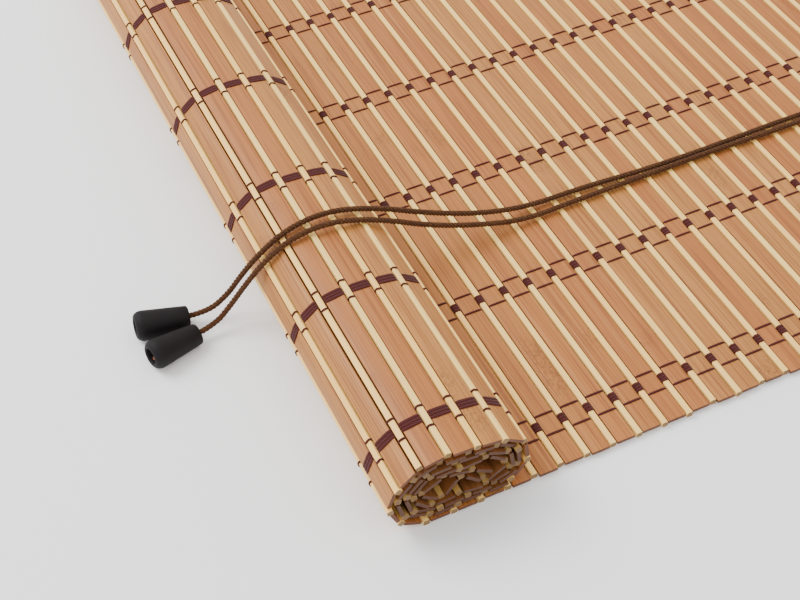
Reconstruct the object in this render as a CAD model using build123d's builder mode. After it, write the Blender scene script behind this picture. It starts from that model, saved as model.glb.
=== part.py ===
from build123d import *
import math
import os

# Bamboo roll-up blind, laid down with its lower part rolled up. Millimetres, +Z up.
# The origin is the middle of the header rail's back face, which lies on the ground.
# +X points to the blind's top edge, the slats run along Y, and the roll is at the -X end.

# ---------------------------------------------------------------- driving dimensions
slat_width = 9.05         # wide bamboo slat, across the weave
slat_thickness = 1.7
slat_bevel = 0.45         # eased long edges of a slat
stick_width = 2.9         # thin pale stick between two slats
stick_thickness = 2.9
stick_bevel = 0.6
weave_gap = 0.61          # free space between a slat and a stick, where the yarns cross
yarn_thickness = 0.3      # yarn pulled flat over the wood
band_width = 5.0          # three yarns side by side
side_yarn_width = 0.66    # single yarn on each side of the band
side_yarn_spacing = 11.3  # centre to centre, across the band
row_count = 6
row_spacing = 80.0
side_margin = 23.0        # from the outermost row to the ends of the slats
flat_pitches = 24         # slat and stick pairs that lie flat beside stick 0
roll_elements = 101       # slats and sticks beyond stick 0, which end inside the roll
ground_clearance = 0.05   # between the lowest yarn and the ground

rail_width = 34.0         # header rail, along X
rail_depth = 18.0
rail_edge = 1.5
rail_clearance = 0.7      # from the first stick to the rail
rebate_side_room = 1.5    # spare width of the rebate that takes the top slat

mat_screw_radius = 1.1
mat_screw_head_radius = 2.4
mat_screw_depth = 11.0
mat_screw_clearance = 0.2
pilot_clearance = 0.05

bracket_offset = 183.0    # from the middle of the rail to a hanger bracket
bracket_width = 16.0
bracket_height = 15.0
bracket_reach = 15.0
bracket_sheet = 1.5
bracket_bend = 1.0
hanging_hole_radius = 2.5
bracket_screw_spacing = 9.0
screw_radius = 1.4
screw_head_radius = 2.7
screw_head_height = 1.5
screw_depth = 12.0
screw_slot = 0.6
screw_clearance = 0.15

cord_radius = 1.2
cord_height = 9.1         # where the pull cords enter the rail, above the ground
cord_entry_depth = 6.0
cord_hole_clearance = 0.3
lock_y = -81.0
cord_offset = 1.6         # from the middle of the cord lock to each cord
lock_length = 24.0
lock_half_width = 9.0
lock_channel_half = 5.4
lock_floor = 4.2
lock_back = 3.0
lock_top = 1.6
lock_ear = 7.0
lock_corner = 1.5
roller_length = 10.4
guide_radius = 1.7
guide_set_back = 10.0     # from the rail to the guide roller
pinch_radius = 2.1
pinch_set_back = 14.0
pin_radius = 0.8
pin_fit = 0.02            # pin in the cheeks
running_fit = 0.05        # roller on its pin
slot_fit = 0.1            # sliding pin in its slots
roller_cord_gap = 0.1
pinch_travel = 2.5
pinch_slope = 35.0        # degrees

tassel_length = 26.0
tassel_small_radius = 5.2
tassel_big_radius = 7.7
tassel_round = 3.2
tassel_wall = 3.5         # thickness of the end that the cord passes through
tassel_cavity_radius = 4.6
cord_bore_radius = 1.3
knot_radius = 3.0
knot_centre = 2.3

# ---------------------------------------------------------------- derived dimensions
pitch = slat_width + stick_width + 2 * weave_gap
mat_width = (row_count - 1) * row_spacing + 2 * side_margin
row_places = [(n - (row_count - 1) / 2) * row_spacing for n in range(row_count)]
mat_height = stick_thickness / 2 + yarn_thickness + ground_clearance
rail_front = -rail_width / 2
stick_0 = rail_front - rail_clearance - stick_width / 2 - flat_pitches * pitch
chain_start = stick_0 + (flat_pitches + 0.5) * pitch + slat_width / 2 + weave_gap / 2
chain_length = 2 * flat_pitches + 2 + roll_elements

# ---------------------------------------------------------------- shape of the mat, seen from its end
# The mat is a chain of stiff slats and sticks, hinged where the yarns cross between them.
# It runs flat from the rail, then winds up over an oval and in. A first spiral is laid
# along that oval, and settled until all the pieces lie on each other without overlap.
roll_half_width = 2.72 * pitch
roll_half_height = 1.47 * pitch
roll_middle = stick_0 - 3.79 * pitch
first_layer_step = 3.05   # how much smaller the first spiral gets with each turn
flat_power = 3.2          # squareness of the roll's lower half
round_power = 2.1         # and of its upper half
settling_passes = 1600
settling_weight = 0.010   # sinking in each pass, so that the roll sags a little
settling_hold = 0.0005    # pull towards the first spiral
fading_share = 0.4        # share of the passes over which weight and pull die out
largest_turn = math.radians(36)
extra_room = 0.12
end_inset = 0.3


def element_size(index):
    if index % 2 == 0:
        return slat_width, slat_thickness
    return stick_width, stick_thickness


def spiral_point(turns):
    angle = 2 * math.pi * turns
    across, up = math.sin(angle), math.cos(angle)
    power = flat_power if up > 0 else round_power
    half_width = roll_half_width - first_layer_step * turns
    half_height = roll_half_height - first_layer_step * turns
    x = roll_middle - half_width * math.copysign(abs(across) ** (2 / power), across)
    z = roll_half_height - half_height * math.copysign(abs(up) ** (2 / power), up)
    return x, mat_height + z


def first_chain():
    """The hinge points of the mat before it settles, and how many of them lie flat for good."""
    points = [(chain_start, mat_height)]
    while points[-1][0] - weave_gap - element_size(len(points) - 1)[0] > roll_middle - 0.1 * pitch:
        width = element_size(len(points) - 1)[0]
        points.append((points[-1][0] - width - weave_gap, mat_height))
    flat_count = len(points)
    turns = 0.0
    while len(points) <= chain_length:
        run = element_size(len(points) - 1)[0] + weave_gap
        turns += 0.005
        while math.dist(points[-1], spiral_point(turns)) < run:
            turns += 0.002
        points.append(spiral_point(turns))
    return points, flat_count


def shrunk(start, end, inset):
    """The line that a stiff piece covers between its two hinge points."""
    dx, dz = (end[0] - start[0]) * inset, (end[1] - start[1]) * inset
    return (start[0] + dx, start[1] + dz), (end[0] - dx, end[1] - dz)


def nearest(line_a, line_b):
    """Where two lines come nearest to each other, as a share of each line's length."""
    (ax, az), (bx, bz) = line_a
    (cx, cz), (dx, dz) = line_b
    ux, uz, vx, vz = bx - ax, bz - az, dx - cx, dz - cz
    wx, wz = ax - cx, az - cz
    uu, vv, uv = ux * ux + uz * uz, vx * vx + vz * vz, ux * vx + uz * vz
    uw, vw = ux * wx + uz * wz, vx * wx + vz * wz
    parallel = uu * vv - uv * uv < 1e-9
    along_a = 0.5 if parallel else min(1, max(0, (uv * vw - uw * vv) / (uu * vv - uv * uv)))
    along_b = (uv * along_a + vw) / vv
    if along_b < 0:
        return min(1, max(0, -uw / uu)), 0
    if along_b > 1:
        return min(1, max(0, (uv - uw) / uu)), 1
    return along_a, along_b


def spread(points, weights, least):
    """Moves some points so that their weighted sum is a step at least this long."""
    dx = sum(w * points[i][0] for i, w, _ in weights)
    dz = sum(w * points[i][1] for i, w, _ in weights)
    length = math.hypot(dx, dz)
    share = sum(free * w * w for _, w, free in weights)
    if length >= least or share == 0:
        return
    push = (least - length) / share / length
    for i, w, free in weights:
        points[i][0] += free * w * push * dx
        points[i][1] += free * w * push * dz


def settled_chain():
    """The hinge points of the mat after it has settled."""
    start, flat_count = first_chain()
    points = [list(point) for point in start]
    count = len(points) - 1
    free = [0.0 if i < flat_count else 1.0 for i in range(count + 1)]
    runs = [element_size(i)[0] + weave_gap for i in range(count)]
    halves = [element_size(i)[1] / 2 + yarn_thickness + extra_room for i in range(count)]
    insets = [(weave_gap / 2 + end_inset) / runs[i] for i in range(count)]
    near = []
    for done in range(settling_passes):
        fade = min(1.0, (settling_passes - done) / (fading_share * settling_passes))
        if done % 10 == 0:
            near = [
                (i, j)
                for j in range(flat_count - 1, count)
                for i in range(j - 1)
                if math.dist(points[i], points[j]) < runs[i] + runs[j] + halves[i] + halves[j]
            ]
        for i in range(flat_count, count + 1):
            points[i][0] += settling_hold * fade * (start[i][0] - points[i][0])
            points[i][1] += settling_hold * fade * (start[i][1] - points[i][1])
            points[i][1] -= settling_weight * fade
        for i, j in near:
            line_a = shrunk(points[i], points[i + 1], insets[i])
            line_b = shrunk(points[j], points[j + 1], insets[j])
            along_a, along_b = nearest(line_a, line_b)
            u = insets[i] + (1 - 2 * insets[i]) * along_a
            v = insets[j] + (1 - 2 * insets[j]) * along_b
            least = halves[i] + halves[j]
            if j - i == 2:
                least -= 2 * extra_room + yarn_thickness
            ends = [(i, u - 1, free[i]), (i + 1, -u, free[i + 1])]
            ends += [(j, 1 - v, free[j]), (j + 1, v, free[j + 1])]
            spread(points, ends, least)
        for i in range(count - 1):
            a, b = runs[i], runs[i + 1]
            least = math.sqrt(a * a + b * b + 2 * a * b * math.cos(largest_turn))
            spread(points, [(i, -1, free[i]), (i + 2, 1, free[i + 2])], least)
        for _ in range(3):
            for i in range(count):
                pull_to_length(points, i, runs[i], free)
        for i in range(flat_count, count + 1):
            points[i][1] = max(points[i][1], mat_height)
    for i in range(flat_count, count + 1):
        length = math.dist(points[i - 1], points[i])
        for axis in (0, 1):
            step = points[i][axis] - points[i - 1][axis]
            points[i][axis] = points[i - 1][axis] + step * runs[i - 1] / length
    return points, flat_count


def pull_to_length(points, i, run, free):
    dx, dz = points[i + 1][0] - points[i][0], points[i + 1][1] - points[i][1]
    length = math.hypot(dx, dz)
    share = free[i] + free[i + 1]
    if share == 0:
        return
    push = (run - length) / share / length
    points[i][0] -= free[i] * push * dx
    points[i][1] -= free[i] * push * dz
    points[i + 1][0] += free[i + 1] * push * dx
    points[i + 1][1] += free[i + 1] * push * dz


hinges, flat_hinges = settled_chain()
os.makedirs("parts", exist_ok=True)


def chain_places(indices):
    """Where slats or sticks lie, seen from their ends, from their two hinge points each."""
    places = []
    for index in indices:
        (ax, az), (bx, bz) = hinges[index], hinges[index + 1]
        angle = math.degrees(math.atan2(bz - az, bx - ax))
        places.append(Location(((ax + bx) / 2, (az + bz) / 2), angle))
    return places


# ---------------------------------------------------------------- slats and sticks
first_rolled = flat_hinges - 1
element_groups = {
    "slats_flat": (range(2, first_rolled, 2), slat_bevel),
    "sticks_flat": (range(1, first_rolled, 2), stick_bevel),
    "slats_rolled": (range(first_rolled + first_rolled % 2, chain_length, 2), slat_bevel),
    "sticks_rolled": (range(first_rolled + 1 - first_rolled % 2, chain_length, 2), stick_bevel),
}
for group_name, (indices, bevel) in element_groups.items():
    with BuildPart() as wood:
        with BuildSketch(Plane.XZ.offset(-mat_width / 2)) as ends:
            with Locations(*chain_places(indices)):
                Rectangle(*element_size(indices[0]))
            chamfer(ends.vertices(), length=bevel)
        extrude(amount=mat_width)
    wood.part.label = group_name
    export_step(wood.part, f"parts/{group_name}.step")

# The top slat is screwed into the rebate at the back of the rail, between the rows.
top_slat_x = (hinges[0][0] + hinges[1][0]) / 2
screw_places = [(top_slat_x, row_places[n] + row_spacing / 2) for n in (0, 2, 4)]
slat_underside = mat_height - slat_thickness / 2
with BuildPart() as top_slat:
    with BuildSketch(Plane.XZ) as end:
        with Locations(*chain_places([0])):
            Rectangle(slat_width, slat_thickness)
        chamfer(end.vertices(), length=slat_bevel)
    extrude(amount=mat_width / 2, both=True)
    with Locations(*[(x, y, mat_height) for x, y in screw_places]):
        Hole(radius=mat_screw_radius + mat_screw_clearance, depth=slat_thickness)
top_slat.part.label = "top_slat"
export_step(top_slat.part, "parts/top_slat.step")


# ---------------------------------------------------------------- warp yarns
def yarn_line(over_slats):
    """The middle line of a yarn that crosses from face to face through every hinge point.

    over_slats is 1 for a yarn on the slats' upper or inner face, and -1 for the other face.
    """
    line = []
    for index in range(chain_length):
        (ax, az), (bx, bz) = hinges[index], hinges[index + 1]
        length = math.dist((ax, az), (bx, bz))
        ux, uz = (bx - ax) / length, (bz - az) / length
        side = over_slats if index % 2 == 0 else -over_slats
        reach = side * (element_size(index)[1] + yarn_thickness) / 2
        inset = weave_gap / 2
        if index > 0:
            line.append((ax, az))
        line.append((ax + inset * ux + reach * uz, az + inset * uz - reach * ux))
        line.append((bx - inset * ux + reach * uz, bz - inset * uz - reach * ux))
    return line


def ribbon_outline(line):
    """A closed outline around a line, half the yarn's thickness to each side."""
    left, right = [], []
    for i, (x, z) in enumerate(line):
        before, after = line[max(i - 1, 0)], line[min(i + 1, len(line) - 1)]
        turn_in = math.atan2(z - before[1], x - before[0]) if i > 0 else None
        turn_out = math.atan2(after[1] - z, after[0] - x) if i < len(line) - 1 else turn_in
        turn_in = turn_out if turn_in is None else turn_in
        half_turn = math.remainder(turn_out - turn_in, 2 * math.pi) / 2
        reach = yarn_thickness / 2 / math.cos(half_turn)
        across = turn_in + half_turn + math.pi / 2
        left.append((x + reach * math.cos(across), z + reach * math.sin(across)))
        right.append((x - reach * math.cos(across), z - reach * math.sin(across)))
    return left + right[::-1]


band_outline = ribbon_outline(yarn_line(-1))
side_yarn_outline = ribbon_outline(yarn_line(1))
for row, row_y in enumerate(row_places, start=1):
    yarns = [(band_outline, row_y, band_width)]
    for side in (-1, 1):
        yarns.append((side_yarn_outline, row_y + side * side_yarn_spacing / 2, side_yarn_width))
    with BuildPart() as warp_row:
        for outline, y, width in yarns:
            with BuildSketch(Plane.XZ.offset(-y - width / 2)):
                with BuildLine():
                    Polyline(*outline, close=True)
                make_face()
            extrude(amount=width)
    warp_row.part.label = f"warp_row_{row}"
    export_step(warp_row.part, f"parts/warp_row_{row}.step", write_pcurves=False)

# ---------------------------------------------------------------- header rail
rebate_width = slat_width + rebate_side_room
rebate_height = mat_height + slat_thickness / 2 + yarn_thickness + ground_clearance
cord_ys = {"a": lock_y + cord_offset, "b": lock_y - cord_offset}
bracket_screw_z = bracket_sheet + bracket_bend + (bracket_height - bracket_sheet - bracket_bend) / 2
bracket_screw_ys = [
    side * bracket_offset + step * bracket_screw_spacing / 2 for side in (-1, 1) for step in (-1, 1)
]
ear_centre = lock_half_width + lock_ear / 2
lock_top_z = rail_depth
lock_screw_z = (lock_floor + lock_top_z) / 2
lock_screw_ys = [lock_y - ear_centre, lock_y + ear_centre]
with BuildPart() as header_rail:
    with BuildSketch(Plane.XZ) as rail_end:
        with Locations((0, rail_depth / 2)):
            Rectangle(rail_width, rail_depth)
        fillet(rail_end.vertices(), radius=rail_edge)
        with Locations((rail_front + rebate_width / 2, rebate_height / 2)):
            Rectangle(rebate_width, rebate_height, mode=Mode.SUBTRACT)
    extrude(amount=mat_width / 2, both=True)
    with BuildSketch(Plane.XY.offset(slat_underside)):
        with Locations(*screw_places):
            Circle(mat_screw_radius + pilot_clearance)
    extrude(amount=mat_screw_depth, mode=Mode.SUBTRACT)
    with BuildSketch(Plane.YZ.offset(rail_width / 2)):
        with Locations(*[(y, bracket_screw_z) for y in bracket_screw_ys]):
            Circle(screw_radius + pilot_clearance)
    extrude(amount=-screw_depth, mode=Mode.SUBTRACT)
    with BuildSketch(Plane.YZ.offset(rail_front)):
        with Locations(*[(y, lock_screw_z) for y in lock_screw_ys]):
            Circle(screw_radius + pilot_clearance)
    extrude(amount=screw_depth, mode=Mode.SUBTRACT)
    with BuildSketch(Plane.YZ.offset(rail_front)):
        with Locations(*[(y, cord_height) for y in cord_ys.values()]):
            Circle(cord_radius + cord_hole_clearance)
    extrude(amount=cord_entry_depth, mode=Mode.SUBTRACT)
header_rail.part.label = "header_rail"
export_step(header_rail.part, "parts/header_rail.step")

with BuildPart() as mat_screws:
    with BuildSketch(Plane.XY.offset(slat_underside)):
        with Locations(*screw_places):
            Circle(mat_screw_head_radius)
    extrude(amount=ground_clearance - slat_underside)
    with BuildSketch(Plane.XY.offset(slat_underside)):
        with Locations(*screw_places):
            Circle(mat_screw_radius)
    extrude(amount=mat_screw_depth)
    with BuildSketch(Plane.XY.offset(ground_clearance)):
        with Locations(*screw_places):
            Rectangle(2 * mat_screw_head_radius, screw_slot)
    extrude(amount=slat_underside / 2, mode=Mode.SUBTRACT)
mat_screws.part.label = "mat_screws"
export_step(mat_screws.part, "parts/mat_screws.step")

# ---------------------------------------------------------------- hanger brackets
rail_top_face = rail_width / 2
for bracket_name, side in (("right", -1), ("left", 1)):
    bracket_y = side * bracket_offset
    with BuildPart() as bracket:
        with BuildSketch(Plane.XZ.offset(-bracket_y)) as bend:
            with BuildLine() as bend_line:
                foot_face = rail_top_face + bracket_sheet
                Polyline(
                    (rail_top_face, 0),
                    (rail_top_face + bracket_reach, 0),
                    (rail_top_face + bracket_reach, bracket_sheet),
                    (foot_face, bracket_sheet),
                    (foot_face, bracket_height),
                    (rail_top_face, bracket_height),
                    close=True,
                )
            make_face()
            fillet(bend.vertices().sort_by_distance((foot_face, bracket_sheet))[0], bracket_bend)
        extrude(amount=bracket_width / 2, both=True)
        tip_edges = bracket.edges().filter_by(Axis.Z).sort_by(Axis.X)[-2:]
        fillet(tip_edges, bracket_width / 2 - bracket_bend)
        with Locations((rail_top_face + bracket_reach / 2, bracket_y, bracket_sheet)):
            Hole(hanging_hole_radius, depth=2 * bracket_sheet)
        with BuildSketch(Plane.YZ.offset(rail_top_face)):
            with Locations(*[(y, bracket_screw_z) for y in bracket_screw_ys if y * side > 0]):
                Circle(screw_radius + screw_clearance)
        extrude(amount=bracket_sheet, mode=Mode.SUBTRACT)
    bracket.part.label = f"hanger_bracket_{bracket_name}"
    export_step(bracket.part, f"parts/hanger_bracket_{bracket_name}.step")


def face_screws(name, head_plane, places, shank_depth):
    """Slotted pan head screws whose heads stand on a plane, with shanks against its normal."""
    with BuildPart() as screws:
        with BuildSketch(head_plane):
            with Locations(*places):
                Circle(screw_head_radius)
        extrude(amount=screw_head_height)
        fillet(screws.faces().sort_by(Axis(head_plane.origin, head_plane.z_dir))[-len(places):].edges(),
               radius=screw_head_height / 3)
        with BuildSketch(head_plane):
            with Locations(*places):
                Circle(screw_radius)
        extrude(amount=-shank_depth)
        with BuildSketch(head_plane.offset(screw_head_height)):
            with Locations(*places):
                Rectangle(2 * screw_head_radius, screw_slot)
        extrude(amount=-screw_head_height / 2, mode=Mode.SUBTRACT)
    screws.part.label = name
    export_step(screws.part, f"parts/{name}.step")


face_screws(
    "bracket_screws",
    Plane.YZ.offset(rail_top_face + bracket_sheet),
    [(y, bracket_screw_z) for y in bracket_screw_ys],
    screw_depth,
)

# ---------------------------------------------------------------- cord lock
lock_mouth = rail_front - lock_length
guide_x = rail_front - guide_set_back
guide_z = cord_height - cord_radius - roller_cord_gap - guide_radius
pinch_x = rail_front - pinch_set_back
pinch_z = cord_height + cord_radius + roller_cord_gap + pinch_radius
slope = math.radians(pinch_slope)
slot_middle = (
    pinch_x + pinch_travel / 2 * math.cos(slope),
    pinch_z + pinch_travel / 2 * math.sin(slope),
)
lock_height = lock_top_z - lock_floor
with BuildPart() as lock_body:
    with BuildSketch(Plane.XY.offset(lock_floor)) as outline:
        with Locations((rail_front - lock_length / 2, lock_y)):
            Rectangle(lock_length, 2 * lock_half_width)
        with Locations((rail_front - lock_back / 2, lock_y)):
            Rectangle(lock_back, 2 * (lock_half_width + lock_ear))
        fillet(outline.vertices().sort_by(Axis.X)[:2], lock_corner)
    extrude(amount=lock_height)
    channel_length = lock_length - lock_back
    with BuildSketch(Plane.XY.offset(lock_floor)):
        with Locations((lock_mouth + channel_length / 2, lock_y)):
            Rectangle(channel_length, 2 * lock_channel_half)
    extrude(amount=lock_height - lock_top, mode=Mode.SUBTRACT)
    with BuildSketch(Plane.XZ.offset(-lock_y)):
        with Locations((guide_x, guide_z)):
            Circle(pin_radius + pin_fit)
        with Locations(slot_middle):
            SlotCenterToCenter(pinch_travel, 2 * (pin_radius + slot_fit), rotation=pinch_slope)
    extrude(amount=lock_half_width, both=True, mode=Mode.SUBTRACT)
    with BuildSketch(Plane.YZ.offset(rail_front - lock_back)):
        with Locations(*[(y, cord_height) for y in cord_ys.values()]):
            Circle(cord_radius + cord_hole_clearance)
        with Locations(*[(y, lock_screw_z) for y in lock_screw_ys]):
            Circle(screw_radius + screw_clearance)
    extrude(amount=lock_back, mode=Mode.SUBTRACT)
lock_body.part.label = "lock_body"
export_step(lock_body.part, "parts/lock_body.step")

lock_screw_plane = Plane(
    origin=(rail_front - lock_back, 0, 0), x_dir=(0, -1, 0), z_dir=(-1, 0, 0)
)
face_screws(
    "lock_screws",
    lock_screw_plane,
    [(-y, lock_screw_z) for y in lock_screw_ys],
    screw_depth,
)

for pin_name, pin_place in (("guide_axle", (guide_x, guide_z)), ("pinch_pin", (pinch_x, pinch_z))):
    with BuildPart() as pin:
        with BuildSketch(Plane.XZ.offset(-lock_y)):
            with Locations(pin_place):
                Circle(pin_radius)
        extrude(amount=lock_half_width, both=True)
    pin.part.label = pin_name
    export_step(pin.part, f"parts/{pin_name}.step")

rollers = (
    ("guide_roller", (guide_x, guide_z), guide_radius),
    ("pinch_roller", (pinch_x, pinch_z), pinch_radius),
)
for roller_name, roller_place, radius in rollers:
    with BuildPart() as roller:
        with BuildSketch(Plane.XZ.offset(-lock_y)):
            with Locations(roller_place):
                Circle(radius)
                Circle(pin_radius + running_fit, mode=Mode.SUBTRACT)
        extrude(amount=roller_length / 2, both=True)
    roller.part.label = roller_name
    export_step(roller.part, f"parts/{roller_name}.step")

# ---------------------------------------------------------------- pull cords, knots and tassels
# Each cord leaves the rail through the lock, lies along the mat, climbs over the roll and
# comes down on its far side into a tassel that lies on the ground.
entry_x = rail_front + cord_entry_depth
cord_routes = {
    "a": [
        (entry_x, cord_ys["a"], cord_height),
        (-46.0, cord_ys["a"], cord_height),
        (-78.0, -78.6, 4.9),
        (-119.0, -77.0, 4.9),
        (-161.0, -78.0, 4.9),
        (-203.0, -77.4, 4.9),
        (-240.0, -74.6, 4.9),
        (-272.0, -73.4, 6.2),
        (-300.0, -73.0, 15.5),
        (-328.0, -72.2, 28.5),
        (-354.0, -71.4, 41.5),
        (-379.0, -70.2, 46.4),
        (-401.0, -71.6, 45.0),
        (-416.5, -72.8, 36.5),
        (-425.0, -72.0, 24.0),
        (-432.5, -71.2, 12.5),
        (-443.68, -70.41, 4.41),
        (-456.07, -69.28, 5.61),
    ],
    "b": [
        (entry_x, cord_ys["b"], cord_height),
        (-45.0, cord_ys["b"], cord_height),
        (-80.0, -82.0, 4.9),
        (-122.0, -82.8, 4.9),
        (-165.0, -80.9, 4.9),
        (-206.0, -81.6, 4.9),
        (-245.0, -81.3, 4.9),
        (-278.0, -82.0, 5.4),
        (-305.0, -80.4, 13.5),
        (-331.0, -79.2, 25.0),
        (-355.0, -78.6, 38.5),
        (-379.0, -77.8, 46.4),
        (-400.0, -78.0, 45.8),
        (-414.5, -78.4, 38.0),
        (-424.5, -79.2, 26.0),
        (-433.0, -79.6, 13.0),
        (-443.59, -80.55, 4.41),
        (-455.82, -82.84, 5.61),
    ],
}


def bend_radii(route):
    """As large an arc at each corner of a route as its two runs allow."""
    radii = []
    for before, corner, after in zip(route, route[1:], route[2:]):
        run_in = Vector(*corner) - Vector(*before)
        run_out = Vector(*after) - Vector(*corner)
        shorter = min(run_in.length, run_out.length)
        half_turn = math.radians(run_in.get_angle(run_out)) / 2
        radii.append(0.45 * shorter / math.tan(half_turn))
    return radii


for letter, route in cord_routes.items():
    radii = bend_radii(route)
    with BuildPart() as pull_cord:
        with BuildLine() as path:
            FilletPolyline(*route, radius=radii)
        cord_line = path.wires()[0]
        with BuildSketch(Plane(origin=cord_line @ 0, z_dir=cord_line % 0)):
            Circle(cord_radius)
        sweep(path=cord_line)
    ideal_volume = math.pi * cord_radius**2 * cord_line.length
    print(f"pull_cord_{letter}: length {cord_line.length:.1f}, smallest radius {min(radii):.1f},",
          f"volume {pull_cord.part.volume:.1f} against {ideal_volume:.1f}")
    print("  radii", [round(radius, 1) for radius in radii])
    pull_cord.part.label = f"pull_cord_{letter}"
    export_step(pull_cord.part, f"parts/pull_cord_{letter}.step")

    # The tassel and the knot in it stand on the line of the cord's last run.
    cord_end = Vector(*route[-1])
    along = (cord_end - Vector(*route[-2])).normalized()
    half_section = Plane(origin=cord_end, x_dir=along, z_dir=along.cross(Vector(0, 0, 1)))
    tassel_axis = Axis(cord_end, along)
    with BuildPart() as tassel:
        with BuildSketch(half_section) as tassel_section:
            with BuildLine():
                Polyline(
                    (-tassel_wall, cord_bore_radius),
                    (-tassel_wall, tassel_small_radius),
                    (tassel_length - tassel_wall, tassel_big_radius),
                    (tassel_length - tassel_wall, tassel_cavity_radius),
                    (0, tassel_cavity_radius),
                    (0, cord_bore_radius),
                    close=True,
                )
            make_face()
            rim = tassel_section.vertices().sort_by(tassel_axis)[-2:].sort_by_distance(cord_end)
            fillet(rim[-1], tassel_round * 0.75)
        revolve(axis=tassel_axis)
    tassel.part.label = f"tassel_{letter}"
    export_step(tassel.part, f"parts/tassel_{letter}.step")

    with BuildPart() as knot:
        with BuildSketch(half_section):
            with Locations((knot_centre, 0)):
                Circle(knot_radius)
            with Locations((knot_radius, knot_radius)):
                Rectangle(2 * knot_radius, 2 * knot_radius, mode=Mode.INTERSECT)
            with Locations((knot_centre * 2, knot_radius)):
                Rectangle(knot_centre * 4, 2 * knot_radius, mode=Mode.INTERSECT)
        revolve(axis=tassel_axis)
    knot.part.label = f"cord_knot_{letter}"
    export_step(knot.part, f"parts/cord_knot_{letter}.step")
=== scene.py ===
# %% [markdown]
# # A bamboo roll-up blind, half rolled up
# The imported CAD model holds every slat, stick, yarn, screw and cord at its real size. This script
# keeps that frame as it is, and gives each piece the surface that the real one has: sliced bamboo,
# peeled bamboo sticks, twisted yarns, a laid cord and two moulded tassels.

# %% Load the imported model
import math
import random

import bmesh
import bpy
from mathutils import Matrix, Vector


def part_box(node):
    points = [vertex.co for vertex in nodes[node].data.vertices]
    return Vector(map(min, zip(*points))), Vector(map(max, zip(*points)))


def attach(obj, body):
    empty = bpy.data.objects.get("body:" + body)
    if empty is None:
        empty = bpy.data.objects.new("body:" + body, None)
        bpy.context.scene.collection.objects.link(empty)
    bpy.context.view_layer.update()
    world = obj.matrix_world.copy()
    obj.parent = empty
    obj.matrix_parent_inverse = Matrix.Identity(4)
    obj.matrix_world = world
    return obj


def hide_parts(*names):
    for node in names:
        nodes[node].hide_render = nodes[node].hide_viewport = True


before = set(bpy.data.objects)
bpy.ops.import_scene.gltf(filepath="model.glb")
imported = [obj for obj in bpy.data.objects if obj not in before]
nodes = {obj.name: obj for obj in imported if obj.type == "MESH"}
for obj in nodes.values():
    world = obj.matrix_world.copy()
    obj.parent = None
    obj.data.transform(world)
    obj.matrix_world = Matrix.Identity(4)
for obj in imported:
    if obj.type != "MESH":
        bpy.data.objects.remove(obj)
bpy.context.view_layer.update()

MM = 0.001
BLIND = "blind"

# %% [markdown]
# ## Camera
# The lens is a long one, about 65 mm on a 36 mm sensor. The camera stands in front of the rolled
# end, well above it, and looks down across the mat. Its three axes are given as vectors, because
# the roll of the camera about its own axis matters as much as where it looks.

# %% Camera
camera_data = bpy.data.cameras.new("view")
camera_data.lens = 64.72
camera_data.sensor_width = 36.0
camera_data.clip_start = 0.02
camera_data.clip_end = 20.0
camera = bpy.data.objects.new("view", camera_data)
bpy.context.scene.collection.objects.link(camera)
right = Vector((0.90300, -0.42925, -0.01826)).normalized()
look = Vector((0.27756, 0.61528, -0.73783)).normalized()
up = right.cross(look)
axes = Matrix((right, up, -look)).transposed().to_4x4()
camera.matrix_world = Matrix.Translation((-0.54954, -0.53051, 0.51549)) @ axes
bpy.context.scene.camera = camera

# %% [markdown]
# ## Floor and light
# A pale plain floor and a pale world give soft light from all sides. One large lamp above and
# behind the roll gives the slats their soft shading, and leaves the roll's near end darker.

# %% Floor and light
FLOOR_HEIGHT = -0.25 * MM  # just below the yarns, which are a little thicker than in the CAD model
floor_bm = bmesh.new()
bmesh.ops.create_grid(floor_bm, x_segments=1, y_segments=1, size=6.0)
bmesh.ops.translate(floor_bm, vec=(0.0, 0.0, FLOOR_HEIGHT), verts=floor_bm.verts)
floor_mesh = bpy.data.meshes.new("floor")
floor_bm.to_mesh(floor_mesh)
floor_bm.free()
floor = bpy.data.objects.new("floor", floor_mesh)
bpy.context.scene.collection.objects.link(floor)
floor_finish = bpy.data.materials.new("floor_paint")
floor_finish.use_nodes = True
floor_shader = floor_finish.node_tree.nodes["Principled BSDF"]
floor_shader.inputs["Base Color"].default_value = (0.97, 0.97, 0.97, 1.0)
floor_shader.inputs["Roughness"].default_value = 0.9
floor_shader.inputs["Specular IOR Level"].default_value = 0.1
floor_mesh.materials.append(floor_finish)

world = bpy.data.worlds.new("soft_sky")
world.use_nodes = True
world.node_tree.nodes["Background"].inputs["Color"].default_value = (1.0, 1.0, 1.0, 1.0)
world.node_tree.nodes["Background"].inputs["Strength"].default_value = 1.4
bpy.context.scene.world = world


def soft_lamp(name, place, target, size, power):
    """A square lamp at a place, turned to a target."""
    data = bpy.data.lights.new(name, "AREA")
    data.shape = "SQUARE"
    data.size = size
    data.energy = power
    lamp = bpy.data.objects.new(name, data)
    bpy.context.scene.collection.objects.link(lamp)
    aim = Vector(target) - Vector(place)
    lamp.matrix_world = Matrix.Translation(place) @ aim.to_track_quat("-Z", "Y").to_matrix().to_4x4()


soft_lamp("key", (-1.3, 0.9, 1.6), (-0.3, 0.0, 0.0), 1.2, 44.0)
soft_lamp("fill", (0.6, -1.4, 1.5), (-0.3, 0.0, 0.0), 1.6, 4.0)


# %% [markdown]
# ## Shader helpers
# Materials here are small node trees. These helpers add a node, set its values and link its
# inputs in one line each, so that each material reads as a short recipe.

# %% Shader helpers
def add_node(tree, kind, **values):
    """Adds a shader node and sets the node's own values."""
    node = tree.nodes.new(kind)
    for name, value in values.items():
        setattr(node, name, value)
    return node


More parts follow.
